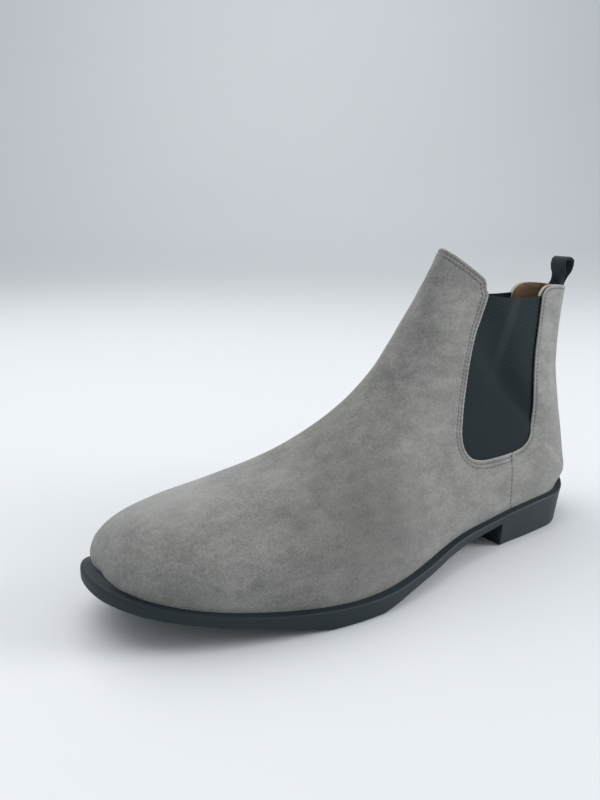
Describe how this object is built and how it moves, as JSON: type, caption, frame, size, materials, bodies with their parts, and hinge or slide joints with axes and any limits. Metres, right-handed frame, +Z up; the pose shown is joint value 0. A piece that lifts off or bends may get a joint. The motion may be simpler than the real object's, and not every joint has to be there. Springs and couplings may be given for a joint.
{
  "type": "chelsea boot",
  "caption": "Ankle boot for the left foot, with a suede upper, elastic side gores, a webbing pull tab at the heel and a moulded rubber sole with a low heel.",
  "frame": {"origin": "on the floor, under the middle of the boot's own box", "axes": "+Z up, the toe towards -Y and the heel towards +Y, the outer side of the foot towards +X"},
  "size_m": [0.1068, 0.3112, 0.1641],
  "materials": {
    "suede": "matte brushed suede, warm grey, with a mottled nap",
    "elastic": "black ribbed elastic webbing with a faint sheen",
    "webbing": "black woven tape",
    "thread": "grey twisted sewing thread",
    "lining_leather": "smooth tan lining leather",
    "sock_leather": "tan leather over thin foam",
    "puff_sheet": "off-white thermoplastic sheet",
    "fibreboard": "brown cellulose board",
    "sole_rubber": "matte black moulded rubber",
    "core_foam": "dark hard foam",
    "felt": "grey felt",
    "pad_foam": "cream foam",
    "steel": "plain spring steel"
  },
  "bodies": {
    "boot": {"vamp": "suede", "quarter_lateral": "suede", "quarter_medial": "suede", "gore_lateral": "elastic", "gore_medial": "elastic", "lining_vamp": "lining_leather", "lining_quarter": "lining_leather", "toe_puff": "puff_sheet", "heel_counter": "fibreboard", "pull_tab_tail": "webbing", "outsole": "sole_rubber", "heel_core": "core_foam", "bottom_filler": "felt", "shank": "steel", "shank_rivet_front": "steel", "shank_rivet_rear": "steel", "insole_board": "fibreboard", "heel_nail_1": "steel", "heel_nail_2": "steel", "heel_nail_3": "steel", "heel_nail_4": "steel", "heel_pad": "pad_foam", "sock_liner": "sock_leather"},
    "pull_tab": {"pull_tab": "webbing"}
  },
  "joints": [
    {"name": "pull_tab_hinge", "type": "hinge", "parent": "boot", "child": "pull_tab", "pos_m": [-0.00923, 0.15075, 0.1402], "axis": [-1, 0, 0], "range_deg": [-30, 60], "stiffness_Nm_per_rad": 0.02}
  ]
}
